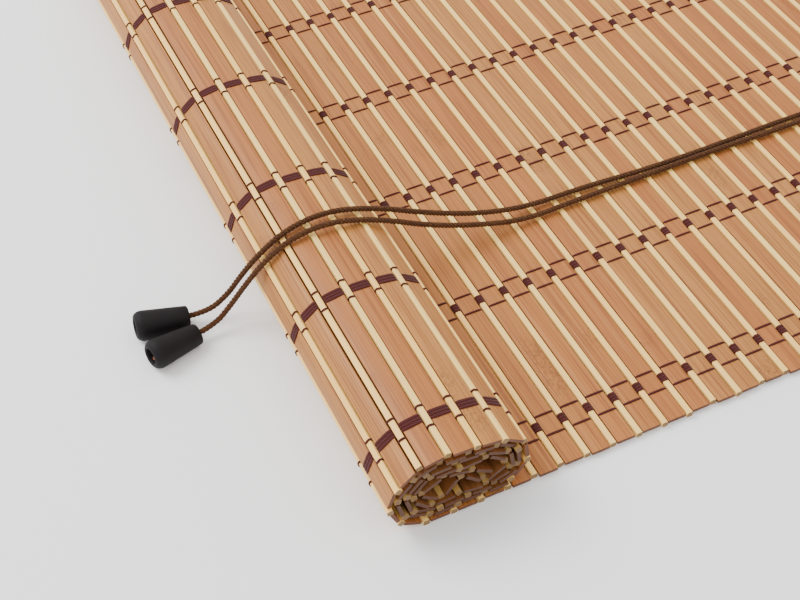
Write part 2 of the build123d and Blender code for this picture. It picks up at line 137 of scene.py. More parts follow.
def feed(tree, node, **inputs):
    """Sets or links a node's inputs, each named as it is or by its number, as in _0."""
    for name, value in inputs.items():
        socket = node.inputs[int(name[1:])] if name[0] == "_" else node.inputs[name.replace("_", " ")]
        if isinstance(value, bpy.types.NodeSocket):
            tree.links.new(value, socket)
        else:
            socket.default_value = value
    return node


def maths(tree, operation, a, b=0.0, c=0.0):
    """One Math node. Only multiply-add has a third input here."""
    node = add_node(tree, "ShaderNodeMath", operation=operation)
    feed(tree, node, _0=a, _1=b)
    if operation == "MULTIPLY_ADD":
        feed(tree, node, _2=c)
    return node.outputs[0]


def ranged(tree, value, low, high, to_low=0.0, to_high=1.0):
    """Turns the range low to high into to_low to to_high, with soft ends."""
    node = add_node(tree, "ShaderNodeMapRange", interpolation_type="SMOOTHSTEP")
    feed(tree, node, _0=value, _1=low, _2=high, _3=to_low, _4=to_high)
    return node.outputs[0]


def mixed(tree, share, a, b):
    """The colour a, with a share of the colour b."""
    node = add_node(tree, "ShaderNodeMix", data_type="RGBA")
    for socket, value in ((0, share), (6, a), (7, b)):
        if isinstance(value, bpy.types.NodeSocket):
            tree.links.new(value, node.inputs[socket])
        else:
            node.inputs[socket].default_value = value
    return node.outputs[2]


def noise(tree, coordinates, scale, detail, roughness, seed=None):
    """Noise, with a seed of its own on each strip where one is given."""
    node = tree.nodes.new("ShaderNodeTexNoise")
    node.noise_dimensions = "3D" if seed is None else "4D"
    node.inputs["Scale"].default_value = scale
    node.inputs["Detail"].default_value = detail
    node.inputs["Roughness"].default_value = roughness
    tree.links.new(coordinates, node.inputs["Vector"])
    if seed is not None:
        tree.links.new(seed, node.inputs["W"])
    return node.outputs["Fac"]


def stretched(tree, coordinates, scale):
    """Coordinates with their own scale on each axis."""
    node = tree.nodes.new("ShaderNodeMapping")
    node.inputs["Scale"].default_value = scale
    tree.links.new(coordinates, node.inputs["Vector"])
    return node.outputs["Vector"]


def bumped(tree, height, distance, strength):
    """A normal from a height, which is up to a distance in metres."""
    node = tree.nodes.new("ShaderNodeBump")
    node.inputs["Strength"].default_value = strength
    node.inputs["Distance"].default_value = distance
    tree.links.new(height, node.inputs["Height"])
    return node.outputs["Normal"]


def finish_material(name, roughness, specular=0.5):
    """A new material and its tree. Roughness and specular are the same all over."""
    material = bpy.data.materials.new(name)
    material.use_nodes = True
    shader = material.node_tree.nodes["Principled BSDF"]
    shader.inputs["Roughness"].default_value = roughness
    shader.inputs["Specular IOR Level"].default_value = specular
    return material, material.node_tree, shader


# %% [markdown]
# ## Bamboo fibres, a shared effect
# All the wood here is split along the fibres, which run along Y. One node group makes the long
# fine streaks, the broader soft bands, the few darker specks and the mottled nodes of bamboo, for
# slats, sticks and rail alike. Noise with a small scale along Y gives long streaks.

# %% Fibre group
fibres = bpy.data.node_groups.new("bamboo_fibres", "ShaderNodeTree")
for socket_name, kind in (("Vector", "NodeSocketVector"), ("Seed", "NodeSocketFloat")):
    fibres.interface.new_socket(socket_name, in_out="INPUT", socket_type=kind)
for socket_name in ("Fine", "Band", "Speck", "Node"):
    fibres.interface.new_socket(socket_name, in_out="OUTPUT", socket_type="NodeSocketFloat")
group_in = fibres.nodes.new("NodeGroupInput")
group_out = fibres.nodes.new("NodeGroupOutput")
seed = maths(fibres, "MULTIPLY", group_in.outputs["Seed"], 37.0)


def streaks(scale, detail, roughness):
    """Noise inside the fibre group, with its own scale on each axis."""
    where = stretched(fibres, group_in.outputs["Vector"], scale)
    return noise(fibres, where, 1.0, detail, roughness, seed)


fibres.links.new(streaks((1500.0, 16.0, 1500.0), 3.0, 0.6), group_out.inputs["Fine"])
fibres.links.new(streaks((420.0, 7.0, 420.0), 2.0, 0.5), group_out.inputs["Band"])
speck = streaks((260.0, 90.0, 260.0), 4.0, 0.7)
fibres.links.new(ranged(fibres, speck, 0.66, 0.78), group_out.inputs["Speck"])
patch = streaks((42.0, 26.0, 42.0), 1.0, 0.5)
mottle = streaks((1300.0, 700.0, 1300.0), 3.0, 0.7)
patch = maths(fibres, "MULTIPLY", ranged(fibres, patch, 0.62, 0.74), ranged(fibres, mottle, 0.42, 0.66))
fibres.links.new(patch, group_out.inputs["Node"])


def fibre_masks(tree):
    """The fibre group's masks, the strip's own tone, and a mask of its sawn ends."""
    where = tree.nodes.new("ShaderNodeTexCoord")
    tone = tree.nodes.new("ShaderNodeAttribute")
    tone.attribute_name = "tone"
    group = tree.nodes.new("ShaderNodeGroup")
    group.node_tree = fibres
    tree.links.new(where.outputs["Object"], group.inputs["Vector"])
    tree.links.new(tone.outputs["Fac"], group.inputs["Seed"])
    facing = tree.nodes.new("ShaderNodeSeparateXYZ")
    tree.links.new(where.outputs["Normal"], facing.inputs[0])
    end_cut = ranged(tree, maths(tree, "ABSOLUTE", facing.outputs["Y"]), 0.6, 0.8)
    return group.outputs, tone.outputs["Fac"], end_cut


def painted_shade_share(tree, attribute_name, share):
    """A share of a painted shade mask that each strip carries, such as the shadow at its long edges."""
    mask = tree.nodes.new("ShaderNodeAttribute")
    mask.attribute_name = attribute_name
    return maths(tree, "MULTIPLY", mask.outputs["Fac"], share)


# %% [markdown]
# ## Slat and stick finishes
# The wide slats are carbonised bamboo: a warm caramel that turns pinker or yellower from slat to
# slat. Their sawn ends are darker, partly because the cut fibres soak up stain and partly as painted
# shade for the roll's shaded end. Their long edges are darker as painted shade, for the shadow in
# the gaps beside the sticks. The strips inside the roll are painted darker too, as painted shade that
# deepens the shade between its turns under a soft light. The sticks are peeled and left pale, with
# the same darker sawn ends and painted shade inside the roll.

# %% Slat finish
slat_finish, tree, shader = finish_material("slat_bamboo", 0.52, 0.35)
masks, tone, end_cut = fibre_masks(tree)
rosy = (0.385, 0.128, 0.028, 1.0)
golden = (0.430, 0.180, 0.040, 1.0)
deep = (0.240, 0.070, 0.014, 1.0)
colour = mixed(tree, tone, rosy, golden)
colour = mixed(tree, ranged(tree, masks["Band"], 0.52, 0.80, 0.0, 0.42), colour, deep)
pale_band = ranged(tree, masks["Band"], 0.25, 0.46, 0.35, 0.0)
colour = mixed(tree, pale_band, colour, (0.58, 0.27, 0.080, 1.0))
dark_streak = ranged(tree, masks["Fine"], 0.45, 0.66, 0.0, 0.72)
colour = mixed(tree, dark_streak, colour, (0.210, 0.055, 0.014, 1.0))
colour = mixed(tree, maths(tree, "MULTIPLY", masks["Speck"], 0.55), colour, (0.18, 0.050, 0.012, 1.0))
colour = mixed(tree, maths(tree, "MULTIPLY", masks["Node"], 0.75), colour, (0.155, 0.050, 0.011, 1.0))
# Sawn ends: darker end grain, and painted shade for the roll's shaded end.
colour = mixed(tree, maths(tree, "MULTIPLY", end_cut, 0.92), colour, (0.100, 0.026, 0.0035, 1.0))
# Painted shade on the long edges, for the shadow in the gaps between slat and stick.
colour = mixed(tree, painted_shade_share(tree, "edge", 0.80), colour, (0.050, 0.012, 0.003, 1.0))
# Painted shade: the slats inside the roll are darkened, for the shade between its turns.
colour = mixed(tree, painted_shade_share(tree, "inner", 0.62), colour, (0.045, 0.013, 0.004, 1.0))
tree.links.new(colour, shader.inputs["Base Color"])
tree.links.new(bumped(tree, masks["Fine"], 0.00006, 0.6), shader.inputs["Normal"])

# %% Stick finish
stick_finish, tree, shader = finish_material("stick_bamboo", 0.48, 0.35)
masks, tone, end_cut = fibre_masks(tree)
colour = mixed(tree, tone, (0.97, 0.57, 0.150, 1.0), (0.99, 0.65, 0.195, 1.0))
deep_band = ranged(tree, masks["Band"], 0.50, 0.80, 0.0, 0.40)
colour = mixed(tree, deep_band, colour, (0.78, 0.44, 0.145, 1.0))
dark_streak = ranged(tree, masks["Fine"], 0.52, 0.78, 0.0, 0.30)
colour = mixed(tree, dark_streak, colour, (0.60, 0.32, 0.105, 1.0))
# Sawn ends: darker end grain, and painted shade for the roll's shaded end.
colour = mixed(tree, maths(tree, "MULTIPLY", end_cut, 0.94), colour, (0.150, 0.078, 0.024, 1.0))
# Painted shade: the sticks inside the roll are darkened, for the shade between its turns.
colour = mixed(tree, painted_shade_share(tree, "inner", 0.55), colour, (0.110, 0.050, 0.014, 1.0))
tree.links.new(colour, shader.inputs["Base Color"])
tree.links.new(bumped(tree, masks["Fine"], 0.00005, 0.5), shader.inputs["Normal"])


# %% [markdown]
# ## Reading the mat from the CAD model
# Each slat and stick is one closed shape in its CAD node. Its end outline on the +Y side gives
# its middle and its turn, and its bevelled corners give its size. The mat is a chain, so the
# pieces are then put in order: each one starts where the one before it ends.

# %% Read slats and sticks
def end_outlines(node_name):
    """The corner points (x, z) of each closed shape's far end in a CAD node."""
    bm = bmesh.new()
    bm.from_mesh(nodes[node_name].data)
    far = max(v.co.y for v in bm.verts) - 1e-5
    bmesh.ops.delete(bm, geom=[v for v in bm.verts if v.co.y < far], context="VERTS")
    bmesh.ops.remove_doubles(bm, verts=bm.verts, dist=1e-6)
    outlines, seen = [], set()
    for first in bm.verts:
        if first in seen:
            continue
        group, front = [], [first]
        seen.add(first)
        while front:
            vert = front.pop()
            group.append(vert)
            for edge in vert.link_edges:
                other = edge.other_vert(vert)
                if other not in seen:
                    seen.add(other)
                    front.append(other)
        outlines.append([Vector((v.co.x, v.co.z)) for v in group])
    bm.free()
    return outlines


def lie_of(outline):
    """Middle, unit direction across the piece, width and thickness of an end outline."""
    middle = sum(outline, Vector((0.0, 0.0))) / len(outline)
    best = None
    for point in outline:
        for other in outline:
            side = other - point
            if side.length < 1e-4:
                continue
            along = side.normalized()
            across = Vector((-along.y, along.x))
            reach = [(p - middle).dot(along) for p in outline]
            rise = [(p - middle).dot(across) for p in outline]
            width, thickness = max(reach) - min(reach), max(rise) - min(rise)
            if best is None or width * thickness < best[0]:
                best = (width * thickness, along, width, thickness)
    _, along, width, thickness = best
    if thickness > width + 1e-5:
        along, width, thickness = Vector((-along.y, along.x)), thickness, width
    return middle, along, width, thickness


woods = []
for node_name in ("top_slat", "slats_flat", "slats_rolled"):
    woods += [("slat", *lie_of(outline)) for outline in end_outlines(node_name)]
for node_name in ("sticks_flat", "sticks_rolled"):
    woods += [("stick", *lie_of(outline)) for outline in end_outlines(node_name)]
slat_size = next((w, t) for kind, _, _, w, t in woods if kind == "slat")
stick_size = next((w, t) for kind, _, _, w, t in woods if kind == "stick")
print("pieces of bamboo:", len(woods), "slat", slat_size, "stick", stick_size)

flat_slats = sorted(m.x for kind, m, d, w, t in woods if kind == "slat" and m.y < 0.0019 and m.x > -0.3)
PITCH = (flat_slats[-1] - flat_slats[0]) / (len(flat_slats) - 1)
GAP = (PITCH - slat_size[0] - stick_size[0]) / 2
print("pitch in mm:", round(PITCH / MM, 3), "gap:", round(GAP / MM, 3))

# %% Put them in order along the mat
slats = [w for w in woods if w[0] == "slat"]
sticks = [w for w in woods if w[0] == "stick"]
start_slat = max(slats, key=lambda w: w[1].x)
slats.remove(start_slat)
hinge = start_slat[1] + Vector((-(slat_size[0] + GAP) / 2, 0.0))
chain = [("slat", start_slat[1], Vector((-1.0, 0.0)), slat_size)]
while slats or sticks:
    pool = sticks if chain[-1][0] == "slat" else slats
    if not pool:
        break
    size = stick_size if pool is sticks else slat_size
    reach = (size[0] + GAP) / 2
    nearest = min(pool, key=lambda w: abs((w[1] - hinge).length - reach) + 0.02 * (w[1] - hinge).length)
    pool.remove(nearest)
    direction = (nearest[1] - hinge).normalized()
    chain.append((nearest[0], nearest[1], direction, size))
    hinge = nearest[1] + direction * reach
print("chain of", len(chain), "left over:", len(slats) + len(sticks))
gaps = []
for one, two in zip(chain, chain[1:]):
    end = one[1] + one[2] * (one[3][0] + GAP) / 2
    start = two[1] - two[2] * (two[3][0] + GAP) / 2
    gaps.append((end - start).length)
print("largest miss between neighbours in mm:", round(max(gaps) / MM, 3))

# %% [markdown]
# ## Slats and sticks
# A strip of bamboo is a long bar whose long edges are eased. It starts as a cube, is scaled,
# bevelled and cut across, so that it can bow. Real strips are never quite alike, so each copy
# gets its own slight bow, its own length to a millimetre or two and its own tone. The material
# reads the tone and two masks of painted shade from attributes: one on the long edges, for the
# shadow in the gaps, and one on the strips inside the roll, for the shade between its turns.

# %% Bamboo strips
low_y, high_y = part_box("slats_flat")[0].y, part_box("slats_flat")[1].y
LENGTH = high_y - low_y
CUTS = 15  # across each strip, so that it can bow
OUTER_TURN = math.tau * 1.02
SHARP_EDGE = math.radians(50)


def strip_template(name, width, thickness, ease, segments):
    """One strip along Y, centred on the origin."""
    bm = bmesh.new()
    bmesh.ops.create_cube(bm, size=1.0)
    bmesh.ops.scale(bm, vec=(width, LENGTH, thickness), verts=bm.verts)
    long_edges = [e for e in bm.edges if abs(e.verts[0].co.y - e.verts[1].co.y) > 0.1]
    bmesh.ops.bevel(
        bm, geom=long_edges, offset=ease, segments=segments, affect="EDGES", profile=0.5, material=-1
    )
    long_edges = [e for e in bm.edges if abs(e.verts[0].co.y - e.verts[1].co.y) > 0.1]
    bmesh.ops.subdivide_edges(bm, edges=long_edges, cuts=CUTS, use_grid_fill=True)
    mesh = bpy.data.meshes.new(name)
    bm.to_mesh(mesh)
    bm.free()
    return mesh


def lay_strips(name, template, members, bow, end_play, finish, seed):
    """Copies a strip to each member's place, and makes one object of them."""
    rng = random.Random(seed)
    bm = bmesh.new()
    tones = bm.verts.layers.float.new("tone")
    edges = bm.verts.layers.float.new("edge")
    inner = bm.verts.layers.float.new("inner")
    for kind, middle, direction, size, covered in members:
        first = len(bm.verts)
        bm.from_mesh(template)
        bm.verts.ensure_lookup_table()
        new = bm.verts[first:]
        tone = rng.random()
        waves = [(rng.uniform(-bow, bow), rng.uniform(0, 6.28), rng.uniform(4, 12)) for _ in range(2)]
        ends = (rng.uniform(-end_play, 0), rng.uniform(-end_play, 0))
        for vert in new:
            vert[tones] = tone
            # 1 on the long side faces, where the slat material paints the shadow of the gaps.
            vert[edges] = float(abs(vert.co.x) > size[0] / 2 - 1e-5)
            # 1 for strips inside the roll, where the material paints shade between the turns.
            vert[inner] = covered
            y = vert.co.y
            vert.co.x += sum(reach * math.sin(turn + y * rate) for reach, turn, rate in waves)
            if abs(y) > LENGTH / 2 - 1e-4:
                vert.co.y += ends[0] if y > 0 else -ends[1]
        turn = math.atan2(direction.y, direction.x)
        place = Matrix.Translation((middle.x, (low_y + high_y) / 2, middle.y))
        bmesh.ops.transform(bm, matrix=place @ Matrix.Rotation(-turn, 4, "Y"), verts=new)
    mesh = bpy.data.meshes.new(name)
    bm.to_mesh(mesh)
    bm.free()
    mesh.shade_smooth()
    mesh.materials.append(finish)
    piece = bpy.data.objects.new(name, mesh)
    bpy.context.scene.collection.objects.link(piece)
    sharp = piece.modifiers.new("sharp_edges", "EDGE_SPLIT")
    sharp.split_angle = SHARP_EDGE
    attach(piece, BLIND)
    print(name, len(mesh.polygons), "faces")
    return piece


outer_strips, turned = len(chain), 0.0
for number, (one, two) in enumerate(zip(chain, chain[1:])):
    turned += abs(one[2].angle_signed(two[2]))
    if turned > OUTER_TURN:
        outer_strips = number
        break
print("strips up to the end of the outer turn:", outer_strips)


def members_of(kind, node_name):
    """The chain's members that are in a CAD node, each with 1 if it is inside the roll."""
    inside = []
    own = [lie_of(outline)[0] for outline in end_outlines(node_name)]
    for member in chain:
        if member[0] == kind and min((member[1] - middle).length for middle in own) < 1e-5:
            covered = float(chain.index(member) > outer_strips)
            inside.append((*member, covered))
    return inside


slat_bar = strip_template("slat_bar", slat_size[0], slat_size[1], 0.32 * MM, 2)
stick_bar = strip_template("stick_bar", stick_size[0], stick_size[1], 0.55 * MM, 3)
strip_sets = (
    ("slat", "top_slat", slat_bar, 0.00, 0.0, slat_finish),
    ("slat", "slats_flat", slat_bar, 0.12 * MM, 1.2 * MM, slat_finish),
    ("slat", "slats_rolled", slat_bar, 0.04 * MM, 1.6 * MM, slat_finish),
    ("stick", "sticks_flat", stick_bar, 0.10 * MM, 1.6 * MM, stick_finish),
    ("stick", "sticks_rolled", stick_bar, 0.04 * MM, 2.2 * MM, stick_finish),
)
for seed, (kind, node_name, bar, bow, end_play, finish) in enumerate(strip_sets, start=11):
    members = members_of(kind, node_name)
    strips = lay_strips(node_name + "_bamboo", bar, members, bow, end_play, finish, seed)
    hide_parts(node_name)

# %% [markdown]
# ## Yarn finish
# The warp yarns are dull maroon cotton. Two plies are twisted together, which shows as a fine
# slanted light and dark; that light and dark is painted shade and highlight in the colour. A wave
# texture across the twist, broken up a little by noise, drives both the colour and the bump. The
# glinting fibres are painted highlights in the colour too.

# %% Yarn finish
def twisted_finish(name, dark, light, glint, scale, glint_share, roughness):
    """Twisted yarn: painted shade and highlight along the twist, and a share of fibres with a painted
    glint.
    """
    material, tree, shader = finish_material(name, roughness, 0.25)
    where = tree.nodes.new("ShaderNodeTexCoord").outputs["Object"]
    ply = tree.nodes.new("ShaderNodeTexWave")
    ply.wave_type = "BANDS"
    ply.bands_direction = "DIAGONAL"
    feed(tree, ply, Vector=where, Scale=scale, Distortion=1.5, Detail=1.0)
    fuzz = noise(tree, where, 2400.0, 3.0, 0.6)
    # Painted shade and highlight along the twist of the plies.
    colour = mixed(tree, ply.outputs["Fac"], dark, light)
    # Painted highlight: a share of glinting fibres.
    colour = mixed(tree, ranged(tree, fuzz, 0.56, 0.70, 0.0, glint_share), colour, glint)
    tree.links.new(colour, shader.inputs["Base Color"])
    height = maths(tree, "MULTIPLY_ADD", fuzz, 0.5, ply.outputs["Fac"])
    tree.links.new(bumped(tree, height, 0.00012, 0.7), shader.inputs["Normal"])
    shader.inputs["Sheen Weight"].default_value = 0.06
    shader.inputs["Sheen Roughness"].default_value = 0.5
    return material


yarn_finish = twisted_finish(
    "warp_yarn", (0.032, 0.0035, 0.003, 1.0), (0.080, 0.010, 0.008, 1.0), (0.15, 0.030, 0.020, 1.0),
    scale=480.0, glint_share=0.35, roughness=0.85,
)

# %% [markdown]
# ## Warp yarns
# Each row has five yarns: three side by side that pass behind the slats and over the sticks, and
# one on each side that does the opposite. A yarn's path has a point at each end of each strip's
# face and one in the gap, so it dips through between slat and stick. A flat oval swept along a
# smooth curve gives the yarn its body.

# %% Weave the yarns
FACE_SHARE = 0.93  # of a face's half width, where the yarn turns down
CROWN = 1.03  # the yarn stands a little higher in the middle of a face
OVAL_SWELL = 1.08  # an oval's smooth line runs inside its eight points
YARN_LIFT = 0.20 * MM
BAND_SPACING = 1.68 * MM
SIDE_INSET = 0.33 * MM  # from the row's edge to the middle of a side yarn


def yarn_path(side, lift):
    """Points (x, z) of a yarn along the mat. Side 1 runs on the slats' upper or inner face."""
    path = []
    for number, (kind, middle, direction, size) in enumerate(chain):
        face = Vector((direction.y, -direction.x)) * (side if kind == "slat" else -side)
        rise = face * (size[1] / 2 + lift)
        half = direction * (size[0] / 2)
        if number > 0:
            path.append(middle - direction * (size[0] + GAP) / 2)
        path += [
            middle - half * FACE_SHARE + rise, middle + rise * CROWN, middle + half * FACE_SHARE + rise
        ]
    return path


def oval(name, width, height):
    """A closed oval outline, which a curve sweeps along its path."""
    curve = bpy.data.curves.new(name, "CURVE")
    curve.dimensions = "2D"
    spline = curve.splines.new("NURBS")
    spline.points.add(7)
    for number, point in enumerate(spline.points):
        turn = math.tau * number / 8
        across, rise = width / 2 * OVAL_SWELL, height / 2 * OVAL_SWELL
        point.co = (across * math.cos(turn), rise * math.sin(turn), 0.0, 1.0)
    spline.use_cyclic_u = True
    spline.order_u = 3
    spline.resolution_u = 1
    outline = bpy.data.objects.new(name, curve)
    bpy.context.scene.collection.objects.link(outline)
    return outline


def swept(name, paths, outline, resolution):
    """A mesh of one outline swept along several open smooth paths of points (x, y, z)."""
    curve = bpy.data.curves.new(name, "CURVE")
    curve.dimensions = "3D"
    curve.bevel_mode = "OBJECT"
    curve.bevel_object = outline
    curve.use_fill_caps = True
    curve.resolution_u = resolution
    for path in paths:
        spline = curve.splines.new("NURBS")
        spline.points.add(len(path) - 1)
        for point, place in zip(spline.points, path):
            point.co = (*place, 1.0)
        spline.order_u = 3
        spline.use_endpoint_u = True
        spline.resolution_u = resolution
    holder = bpy.data.objects.new(name + "_path", curve)
    bpy.context.scene.collection.objects.link(holder)
    mesh = bpy.data.meshes.new_from_object(holder.evaluated_get(bpy.context.evaluated_depsgraph_get()))
    bpy.data.objects.remove(holder)
    return mesh


row_count = sum(1 for name in nodes if name.startswith("warp_row_"))
band_outline = oval("band_outline", 1.78 * MM, 0.70 * MM)
side_outline = oval("side_outline", 1.22 * MM, 0.70 * MM)
band_points, side_points = yarn_path(-1, YARN_LIFT), yarn_path(1, YARN_LIFT)
for row in range(1, row_count + 1):
    lo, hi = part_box(f"warp_row_{row}")
    row_y = (lo.y + hi.y) / 2
    side_y = (hi.y - lo.y) / 2 - SIDE_INSET
    bands = [[(p.x, row_y + k * BAND_SPACING, p.y) for p in band_points] for k in (-1, 0, 1)]
    loops = [[(p.x, row_y + k * side_y, p.y) for p in side_points] for k in (-1, 1)]
    bm = bmesh.new()
    bm.from_mesh(swept(f"bands_{row}", bands, band_outline, 2))
    bm.from_mesh(swept(f"loops_{row}", loops, side_outline, 2))
    mesh = bpy.data.meshes.new(f"warp_row_{row}_yarns")
    bm.to_mesh(mesh)
    bm.free()
    mesh.shade_smooth()
    mesh.materials.clear()
    mesh.materials.append(yarn_finish)
    yarns = bpy.data.objects.new(f"warp_row_{row}_yarns", mesh)
    bpy.context.scene.collection.objects.link(yarns)
    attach(yarns, BLIND)
    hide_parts(f"warp_row_{row}")
print("faces in one row of yarns:", len(mesh.polygons))
bpy.data.objects.remove(band_outline)
bpy.data.objects.remove(side_outline)

# %% [markdown]
# ## Pull cords
# Two limp cords come out of the cord lock at the top, lie along the mat, climb over the roll and
# come down on its far side. Their route is a short list of points on a smooth spline, close to the
# CAD model's. Three strands are wound round that line, as in a real laid cord.

# %% Pull cords
STRANDS = 3
STRAND_WIDTH = 1.46 * MM
STRAND_OFFSET = 0.78 * MM  # from the cord's line to the middle of a strand
LAY_LENGTH = 6.2 * MM
STEP = 0.55 * MM
cord_routes = {
    "a": [
        (-11.0, -79.4, 9.1), (-46.0, -79.4, 9.1), (-78.0, -78.8, 4.9), (-119.0, -77.6, 4.9),
        (-161.0, -78.6, 4.9), (-203.0, -78.2, 4.9), (-240.0, -75.4, 4.9), (-272.0, -75.6, 5.2),
        (-300.0, -75.6, 12.4), (-328.0, -74.4, 24.0), (-354.0, -73.9, 38.4), (-379.0, -72.8, 46.4),
        (-401.0, -74.6, 45.2), (-416.5, -75.4, 35.8), (-425.0, -72.6, 23.6), (-432.5, -71.2, 12.5),
        (-443.68, -70.41, 4.41), (-456.07, -69.28, 5.61),
    ],
    "b": [
        (-11.0, -82.6, 9.1), (-45.0, -82.6, 9.1), (-80.0, -82.0, 4.9), (-122.0, -82.8, 4.9),
        (-165.0, -81.4, 4.9), (-206.0, -82.2, 4.9), (-245.0, -82.2, 4.9), (-278.0, -83.6, 5.2),
        (-305.0, -82.2, 12.4), (-331.0, -81.0, 22.6), (-355.0, -81.2, 37.4), (-379.0, -80.8, 46.8),
        (-400.0, -80.8, 45.4), (-414.5, -81.2, 37.2), (-424.5, -79.6, 25.2), (-433.0, -78.2, 13.0),
        (-443.59, -80.0, 4.41), (-455.82, -82.84, 5.61),
    ],
}


def line_of(route, name):
    """Points along the smooth spline through a route, close together."""
    curve = bpy.data.curves.new(name, "CURVE")
    curve.dimensions = "3D"
    spline = curve.splines.new("NURBS")
    spline.points.add(len(route) - 1)
    for point, place in zip(spline.points, route):
        point.co = (*(c * MM for c in place), 1.0)
    spline.order_u = 3
    spline.use_endpoint_u = True
    spline.resolution_u = 64
    holder = bpy.data.objects.new(name, curve)
    bpy.context.scene.collection.objects.link(holder)
    mesh = bpy.data.meshes.new_from_object(holder.evaluated_get(bpy.context.evaluated_depsgraph_get()))
    points = [v.co.copy() for v in mesh.vertices]
    bpy.data.objects.remove(holder)
    bpy.data.meshes.remove(mesh)
    return points


def evenly(points, step):
    """Points a step apart along a line of close points."""
    placed, spare = [points[0]], 0.0
    for one, two in zip(points, points[1:]):
        length = (two - one).length
        while spare + length >= step:
            one = one + (two - one) * ((step - spare) / length)
            length = (two - one).length
            spare = 0.0
            placed.append(one)
        spare += length
    return placed


def strand_paths(line, count, offset, lay):
    """Paths of strands that wind round a line, one full turn in each lay length."""
    paths = [[] for _ in range(count)]
    side = Vector((0.0, 1.0, 0.0))
    travelled = 0.0
    for number, place in enumerate(line):
        ahead = line[min(number + 1, len(line) - 1)] - line[max(number - 1, 0)]
        ahead.normalize()
        side = (side - ahead * side.dot(ahead)).normalized()
        other = ahead.cross(side)
        if number > 0:
            travelled += (place - line[number - 1]).length
        for strand in range(count):
            turn = math.tau * (travelled / lay + strand / count)
            paths[strand].append(place + (side * math.cos(turn) + other * math.sin(turn)) * offset)
    return paths


cord_finish = twisted_finish(
    "cord_yarn", (0.017, 0.004, 0.0006, 1.0), (0.090, 0.027, 0.004, 1.0), (0.36, 0.14, 0.014, 1.0),
    scale=620.0, glint_share=0.8, roughness=0.8,
)
strand_outline = oval("strand_outline", STRAND_WIDTH, STRAND_WIDTH)
for letter, route in cord_routes.items():
    line = line_of(route, f"pull_cord_{letter}_line")
    steps = evenly(line, STEP) + [line[-1]]
    strands = strand_paths(steps, STRANDS, STRAND_OFFSET, LAY_LENGTH)
    mesh = swept(f"pull_cord_{letter}_strands", strands, strand_outline, 1)
    mesh.shade_smooth()
    mesh.materials.clear()
    mesh.materials.append(cord_finish)
    cord = bpy.data.objects.new(f"pull_cord_{letter}_laid", mesh)
    bpy.context.scene.collection.objects.link(cord)
    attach(cord, BLIND)
    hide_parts(f"pull_cord_{letter}")
bpy.data.objects.remove(strand_outline)

# %% [markdown]
# ## Tassels
# Each tassel is a moulded bell with a small hole for the cord, a thick wall and a well rounded
# mouth, where the knotted end of the cord shows. A turned shape like this is a half section spun
# round the line of the cord's last run, and closed where the spin meets itself.

# %% Tassel bells
SPIN_STEPS = 48
TASSEL_SECTION = [  # distance along the line from the cord's end, and radius, in mm
    (-3.5, 1.35), (-3.5, 4.5), (-3.3, 5.0), (-2.8, 5.25), (2.0, 5.75), (8.0, 6.33), (14.0, 6.90),
    (17.0, 7.20), (19.0, 7.32), (20.4, 7.05), (21.6, 6.35), (22.3, 5.45), (22.5, 4.65), (22.3, 4.15),
    (21.6, 3.95), (18.0, 3.90), (4.6, 3.90), (0.9, 3.40), (0.3, 2.60), (0.2, 1.35),
]


def turned_bell(name, end, along, section, finish):
    """A closed section (distance along the axis, radius) spun once round the axis."""
    side = along.cross(Vector((0.0, 0.0, 1.0))).normalized()
    bm = bmesh.new()
    verts = [bm.verts.new(end + along * t * MM + side * r * MM) for t, r in section]
    edges = [bm.edges.new((a, b)) for a, b in zip(verts, verts[1:] + verts[:1])]
    bmesh.ops.spin(
        bm, geom=verts + edges, cent=end, axis=along, angle=math.tau, steps=SPIN_STEPS, use_merge=True
    )
    bmesh.ops.remove_doubles(bm, verts=bm.verts, dist=1e-6)
    bmesh.ops.recalc_face_normals(bm, faces=bm.faces)
    mesh = bpy.data.meshes.new(name)
    bm.to_mesh(mesh)
    bm.free()
    mesh.shade_smooth()
    mesh.materials.append(finish)
    piece = bpy.data.objects.new(name, mesh)
    bpy.context.scene.collection.objects.link(piece)
    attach(piece, BLIND)
    return piece


tassel_finish, tree, shader = finish_material("tassel_plastic", 0.66, 0.22)
where = tree.nodes.new("ShaderNodeTexCoord").outputs["Object"]
grain = noise(tree, where, 1800.0, 3.0, 0.6)
cloud = noise(tree, where, 160.0, 2.0, 0.5)
colour = mixed(tree, cloud, (0.0022, 0.0018, 0.002, 1.0), (0.0065, 0.004, 0.0045, 1.0))
colour = mixed(tree, ranged(tree, grain, 0.6, 0.8, 0.0, 0.5), colour, (0.014, 0.010, 0.010, 1.0))
tree.links.new(colour, shader.inputs["Base Color"])
tree.links.new(bumped(tree, grain, 0.00008, 0.5), shader.inputs["Normal"])

knot_finish = twisted_finish(
    "knot_yarn", (0.16, 0.040, 0.022, 1.0), (0.36, 0.115, 0.055, 1.0), (0.50, 0.24, 0.12, 1.0),
    scale=420.0, glint_share=0.5, roughness=0.8,
)

for letter, route in cord_routes.items():
    end, before = Vector(route[-1]) * MM, Vector(route[-2]) * MM
    along = (end - before).normalized()
    bell = turned_bell(f"tassel_{letter}_bell", end, along, TASSEL_SECTION, tassel_finish)
    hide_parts(f"tassel_{letter}")
    print("tassel", letter, "faces:", len(bell.data.polygons))

# %% [markdown]
# ## Frayed cord ends
# Past the knot, the cord's three strands come apart and lie in the lower side of the bell. Each
# is a short smooth sweep, a little different from the others.

